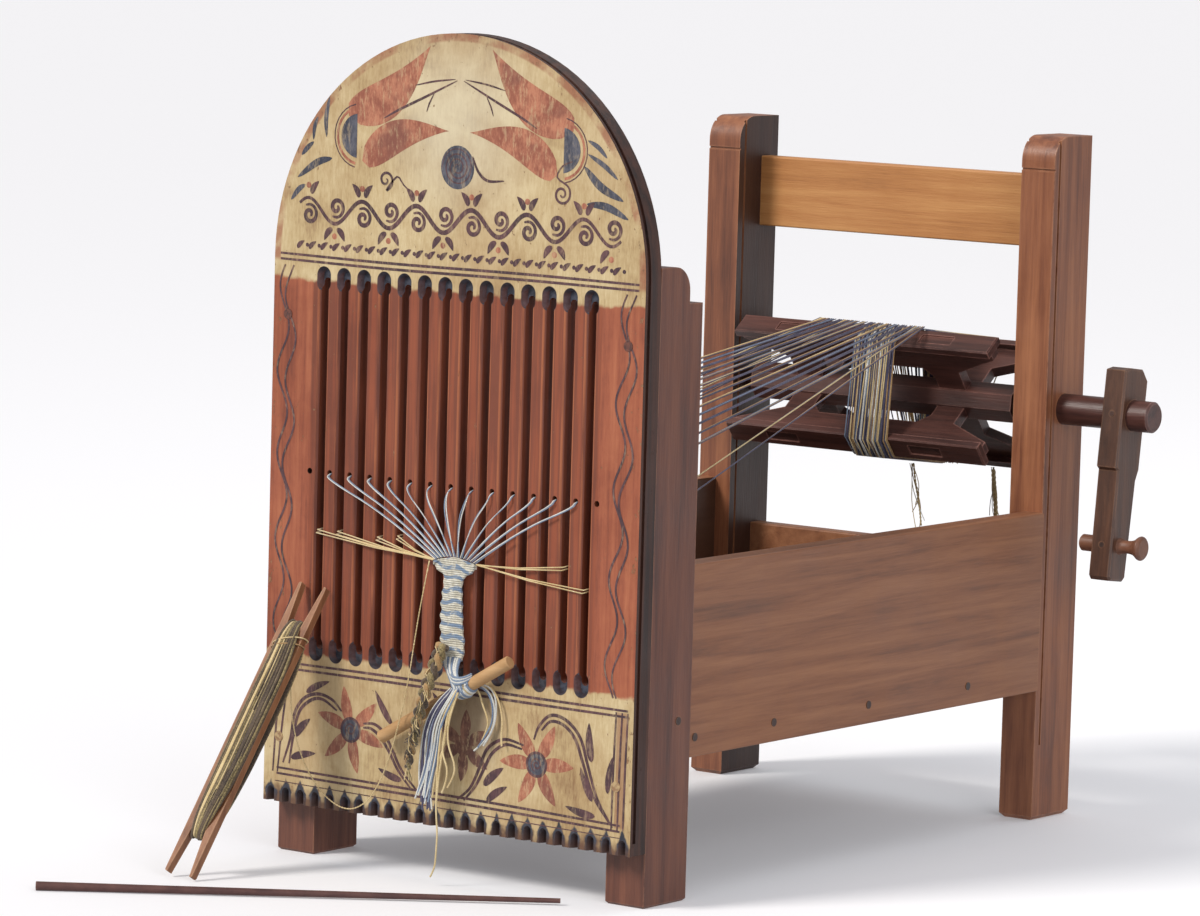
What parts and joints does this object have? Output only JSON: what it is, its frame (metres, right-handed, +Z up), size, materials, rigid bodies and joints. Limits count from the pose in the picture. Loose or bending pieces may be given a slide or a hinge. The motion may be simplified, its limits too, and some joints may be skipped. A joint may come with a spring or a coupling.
{
  "type": "tape loom",
  "caption": "Small box tape loom with a pierced, painted heddle board, side rails, rear posts, a crank reel holding the warp, woven tape on a stick, and a shuttle.",
  "frame": {"origin": "on the floor, in the middle of the whole footprint, with the crank and the loose stick in front", "axes": "+X to the right along the heddle board, towards the crank; +Y from the board back to the reel; +Z up"},
  "size_m": [0.2928, 0.5774, 0.4148],
  "materials": {
    "painted_board": "milk paint on orange-red ground, worn satin",
    "pegs": "dark end grain",
    "front_post_wood": "dark red-brown, waxed",
    "rail_wood": "brown, worn",
    "rear_post_wood": "red-brown, waxed",
    "honey_wood": "honey, satin",
    "reel_wood": "dark red-brown, worn edges",
    "crank_wood": "dark brown, worn edges",
    "warp_thread": "cotton thread",
    "tape_cloth": "woven cotton, blue-grey stripes",
    "fringe_thread": "loose linen threads",
    "stick_wood": "bare tan wood",
    "dark_stick_wood": "dark red-brown, waxed",
    "marled_yarn": "thick olive and brown yarn",
    "weft_thread": "twisted yarn",
    "shuttle_wood": "bare brown wood"
  },
  "bodies": {
    "frame": {"heddle_board": "painted_board", "board_pegs": "pegs", "front_post_left": "front_post_wood", "front_post_right": "front_post_wood", "side_rail_left": "rail_wood", "side_rail_right": "rail_wood", "rail_pegs": "pegs", "bottom_board": "rail_wood", "rear_post_left": "rear_post_wood", "rear_post_right": "rear_post_wood", "tenon_pegs": "pegs", "top_rail": "honey_wood", "lower_back_rail": "rail_wood", "heddle_threads": "warp_thread", "slot_threads": "warp_thread", "woven_tape": "tape_cloth", "tape_stick": "stick_wood", "tape_knot": "tape_cloth", "tape_fringe": "fringe_thread", "braided_strand": "marled_yarn", "weft_thread": "weft_thread"},
    "reel": {"reel_axle": "reel_wood", "reel_vane_1": "reel_wood", "reel_vane_2": "reel_wood", "reel_vane_3": "reel_wood", "reel_vane_4": "reel_wood", "reel_slat_1": "reel_wood", "reel_slat_2": "reel_wood", "reel_slat_3": "reel_wood", "reel_slat_4": "reel_wood", "crank_arm": "crank_wood", "crank_pin": "pegs", "crank_handle": "crank_wood", "handle_pin": "pegs", "warp_winding": "warp_thread", "warp_tail": "warp_thread", "warp_bunch": "warp_thread"},
    "shuttle": {"shuttle": "shuttle_wood", "shuttle_yarn": "marled_yarn"},
    "stick": {"pickup_stick": "dark_stick_wood"}
  },
  "joints": [
    {"name": "crank_turn", "type": "hinge", "parent": "frame", "child": "reel", "pos_m": [-0.0215, 0.2498, 0.2175], "axis": [1, 0, 0], "continuous": true},
    {"name": "shuttle_lift", "type": "slide", "parent": "frame", "child": "shuttle", "axis": [0, 0, 1], "range_m": [0, 0.05], "deforming": ["weft_thread"]},
    {"name": "stick_lift", "type": "slide", "parent": "frame", "child": "stick", "axis": [0, 0, 1], "range_m": [0, 0.05]}
  ]
}
